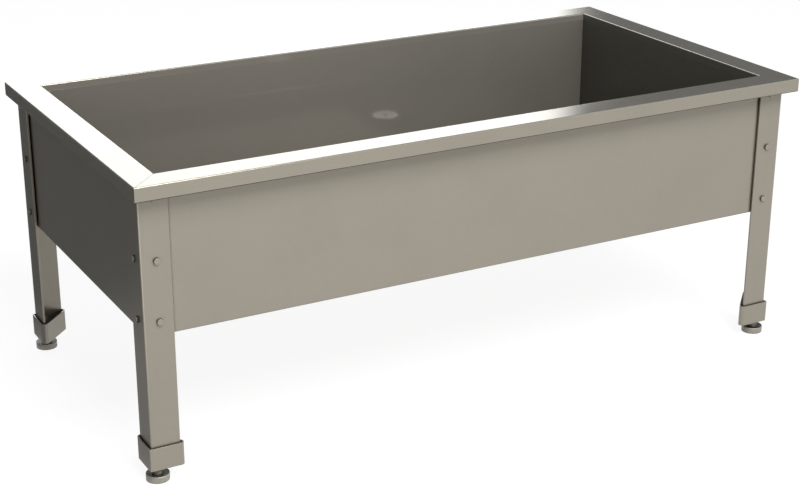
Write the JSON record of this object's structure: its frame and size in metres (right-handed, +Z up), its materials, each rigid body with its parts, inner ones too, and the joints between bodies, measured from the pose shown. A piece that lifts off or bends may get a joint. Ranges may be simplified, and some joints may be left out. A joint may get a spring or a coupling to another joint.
{
  "type": "wash trough",
  "caption": "Free-standing rectangular stainless wash trough with a deep open bowl, flat rim, apron panels and angle legs on screwed levelling feet",
  "frame": {"origin": "on the ground, below the middle of the rim", "axes": "+X along the trough towards the drain's end, +Y from front to rear, +Z up"},
  "size_m": [1.5, 0.78, 0.6],
  "materials": {
    "rim_steel": "fine brushed along each rail, satin",
    "bowl_steel": "satin, slightly reflective",
    "apron_steel": "fine brushed along the panel, satin",
    "leg_steel": "satin pressed sheet",
    "boot_steel": "satin pressed sheet",
    "frame_steel": "mill finish",
    "drain_steel": "pale bead-blasted",
    "fastener_steel": "bright machined",
    "pad_steel": "turned satin",
    "gasket_rubber": "matt black"
  },
  "bodies": {
    "frame": {"rim_front": "rim_steel", "rim_rear": "rim_steel", "rim_left": "rim_steel", "rim_right": "rim_steel", "bowl_shell": "bowl_steel", "bowl_end_left": "bowl_steel", "bowl_end_right": "bowl_steel", "floor_bearer_left": "frame_steel", "floor_bearer_middle": "frame_steel", "floor_bearer_right": "frame_steel", "apron_front": "apron_steel", "apron_rear": "apron_steel", "apron_left": "apron_steel", "apron_right": "apron_steel", "drain_body": "drain_steel", "drain_strainer": "drain_steel", "drain_strainer_screw": "fastener_steel", "drain_gasket": "gasket_rubber", "drain_backnut": "fastener_steel", "leg_front_left": "leg_steel", "leg_front_right": "leg_steel", "leg_rear_left": "leg_steel", "leg_rear_right": "leg_steel", "leg_bolts_front_left": "fastener_steel", "leg_bolts_front_right": "fastener_steel", "leg_bolts_rear_left": "fastener_steel", "leg_bolts_rear_right": "fastener_steel", "leg_spacers_front_left": "fastener_steel", "leg_spacers_front_right": "fastener_steel", "leg_spacers_rear_left": "fastener_steel", "leg_spacers_rear_right": "fastener_steel", "leg_nuts_front_left": "fastener_steel", "leg_nuts_front_right": "fastener_steel", "leg_nuts_rear_left": "fastener_steel", "leg_nuts_rear_right": "fastener_steel", "boot_front_left": "boot_steel", "boot_front_right": "boot_steel", "boot_rear_left": "boot_steel", "boot_rear_right": "boot_steel", "foot_plate_front_left": "frame_steel", "foot_plate_front_right": "frame_steel", "foot_plate_rear_left": "frame_steel", "foot_plate_rear_right": "frame_steel", "foot_nut_front_left": "fastener_steel", "foot_nut_front_right": "fastener_steel", "foot_nut_rear_left": "fastener_steel", "foot_nut_rear_right": "fastener_steel", "foot_lock_nut_front_left": "fastener_steel", "foot_lock_nut_front_right": "fastener_steel", "foot_lock_nut_rear_left": "fastener_steel", "foot_lock_nut_rear_right": "fastener_steel"},
    "foot_stem_front_left": {"foot_stem_front_left": "fastener_steel"},
    "foot_stem_front_right": {"foot_stem_front_right": "fastener_steel"},
    "foot_stem_rear_left": {"foot_stem_rear_left": "fastener_steel"},
    "foot_stem_rear_right": {"foot_stem_rear_right": "fastener_steel"},
    "foot_pad_front_left": {"foot_pad_front_left": "pad_steel"},
    "foot_pad_front_right": {"foot_pad_front_right": "pad_steel"},
    "foot_pad_rear_left": {"foot_pad_rear_left": "pad_steel"},
    "foot_pad_rear_right": {"foot_pad_rear_right": "pad_steel"}
  },
  "joints": [
    {"name": "foot_height_front_left", "type": "slide", "parent": "frame", "child": "foot_pad_front_left", "axis": [0, 0, -1], "range_m": [0, 0.025]},
    {"name": "foot_screw_front_left", "type": "hinge", "parent": "foot_pad_front_left", "child": "foot_stem_front_left", "pos_m": [-0.719, -0.342, 0.05], "axis": [0, 0, -1], "range_deg": [0, 5143]},
    {"name": "foot_height_front_right", "type": "slide", "parent": "frame", "child": "foot_pad_front_right", "axis": [0, 0, -1], "range_m": [0, 0.025]},
    {"name": "foot_screw_front_right", "type": "hinge", "parent": "foot_pad_front_right", "child": "foot_stem_front_right", "pos_m": [0.719, -0.342, 0.05], "axis": [0, 0, -1], "range_deg": [0, 5143]},
    {"name": "foot_height_rear_left", "type": "slide", "parent": "frame", "child": "foot_pad_rear_left", "axis": [0, 0, -1], "range_m": [0, 0.025]},
    {"name": "foot_screw_rear_left", "type": "hinge", "parent": "foot_pad_rear_left", "child": "foot_stem_rear_left", "pos_m": [-0.719, 0.342, 0.05], "axis": [0, 0, -1], "range_deg": [0, 5143]},
    {"name": "foot_height_rear_right", "type": "slide", "parent": "frame", "child": "foot_pad_rear_right", "axis": [0, 0, -1], "range_m": [0, 0.025]},
    {"name": "foot_screw_rear_right", "type": "hinge", "parent": "foot_pad_rear_right", "child": "foot_stem_rear_right", "pos_m": [0.719, 0.342, 0.05], "axis": [0, 0, -1], "range_deg": [0, 5143]}
  ],
  "couplings": [
    {"joint": "foot_screw_front_left", "follows": "foot_height_front_left", "rad_per_m": 3590.4},
    {"joint": "foot_screw_front_right", "follows": "foot_height_front_right", "rad_per_m": 3590.4},
    {"joint": "foot_screw_rear_left", "follows": "foot_height_rear_left", "rad_per_m": 3590.4},
    {"joint": "foot_screw_rear_right", "follows": "foot_height_rear_right", "rad_per_m": 3590.4}
  ]
}
